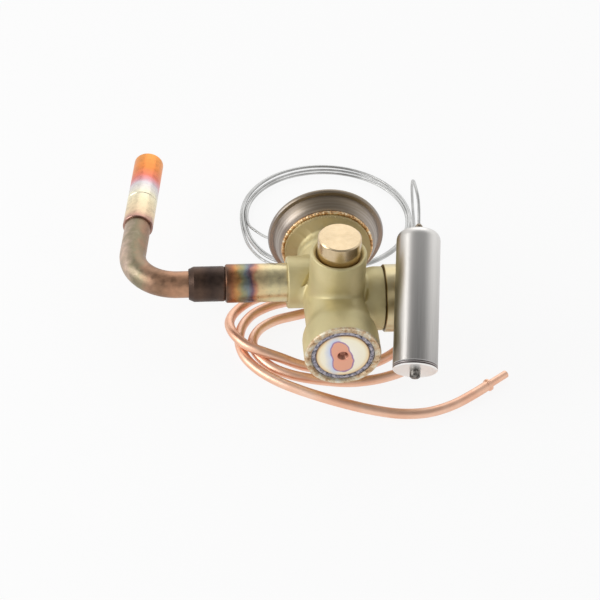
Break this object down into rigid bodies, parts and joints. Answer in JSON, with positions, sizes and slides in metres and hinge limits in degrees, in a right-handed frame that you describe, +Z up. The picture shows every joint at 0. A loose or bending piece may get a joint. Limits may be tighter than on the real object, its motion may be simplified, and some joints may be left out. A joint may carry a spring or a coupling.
{
  "type": "refrigerant expansion valve",
  "caption": "Brass refrigerant expansion valve with brazed power element, sensing bulb on a coiled capillary, inlet elbow, outlet socket and equalizer tube.",
  "frame": {"origin": "centre of the outlet socket's mouth", "axes": "+X out of the outlet socket, +Y towards the power element, +Z up through the seal cap; the valve lies on a surface on the power element's rim and the equalizer tube's loops"},
  "size_m": [0.1821, 0.1997, 0.0721],
  "materials": {
    "forged_brass": "satin",
    "turned_brass": "machined",
    "plug_brass": "satin",
    "dark_braze": "rough",
    "gold_braze": "rough",
    "silver_braze": "rough",
    "machined_steel": "machined",
    "spring_steel": "satin",
    "element_steel": "satin",
    "bulb_steel": "brushed",
    "capillary_steel": "satin",
    "packing": "matte",
    "seal_rubber": "matte",
    "gasket_copper": "satin",
    "stub_brass": "satin",
    "heated_copper": "oxidised",
    "brown_copper": "oxidised",
    "tinted_copper": "heat tinted",
    "soft_copper": "satin",
    "strainer_mesh": "mesh"
  },
  "bodies": {
    "valve": {"valve_body": "forged_brass", "bottom_plug": "plug_brass", "plug_braze_ring": "dark_braze", "superheat_spring": "spring_steel", "spindle_gland": "turned_brass", "spindle_o_ring": "seal_rubber", "cap_gasket": "gasket_copper", "orifice_seat": "machined_steel", "rod_packing": "packing", "rod_gland": "turned_brass", "element_base": "element_steel", "element_cover": "element_steel", "element_rim_weld": "element_steel", "element_braze_ring": "gold_braze", "diaphragm": "spring_steel", "element_ferrule": "capillary_steel", "inlet_stub": "stub_brass", "inlet_strainer": "strainer_mesh", "inlet_reducer": "heated_copper", "inlet_elbow": "brown_copper", "inlet_end_coupling": "tinted_copper", "outlet_socket": "stub_brass", "bulb_shell": "bulb_steel", "bulb_end_cap": "bulb_steel", "bulb_fill_nib": "capillary_steel", "bulb_ferrule": "capillary_steel", "capillary_lead": "capillary_steel", "capillary_coil": "capillary_steel", "capillary_tail": "capillary_steel", "equalizer_tube": "soft_copper", "equalizer_braze": "silver_braze"},
    "cap": {"seal_cap": "turned_brass"},
    "spindle": {"adjusting_spindle": "machined_steel"},
    "crown": {"gear_ring": "machined_steel"},
    "spring_carrier": {"spring_seat": "machined_steel"},
    "stem": {"push_rod": "machined_steel", "thrust_plate": "machined_steel", "valve_cone": "machined_steel"}
  },
  "joints": [
    {"name": "cap_lift", "type": "slide", "parent": "valve", "child": "cap", "axis": [0, 0, 1], "range_m": [0, 0.025]},
    {"name": "spindle_turn", "type": "hinge", "parent": "valve", "child": "spindle", "pos_m": [-0.0445, -0.0025, 0.02], "axis": [0, 0, 1], "range_deg": [-721, 721]},
    {"name": "crown_turn", "type": "hinge", "parent": "valve", "child": "crown", "pos_m": [-0.0445, -0.017, 0], "axis": [0, 1, 0], "range_deg": [-240, 240]},
    {"name": "seat_travel", "type": "slide", "parent": "valve", "child": "spring_carrier", "axis": [0, 1, 0], "range_m": [-0.00101, 0.00101], "deforming": ["superheat_spring"]},
    {"name": "valve_stroke", "type": "slide", "parent": "valve", "child": "stem", "axis": [0, -1, 0], "range_m": [0, 0.0012], "stiffness_N_per_m": 1000, "springref_m": -0.001, "deforming": ["superheat_spring", "diaphragm"]}
  ],
  "couplings": [
    {"joint": "spindle_turn", "follows": "crown_turn", "ratio": 3},
    {"joint": "seat_travel", "follows": "crown_turn", "m_per_rad": -0.00023873}
  ]
}
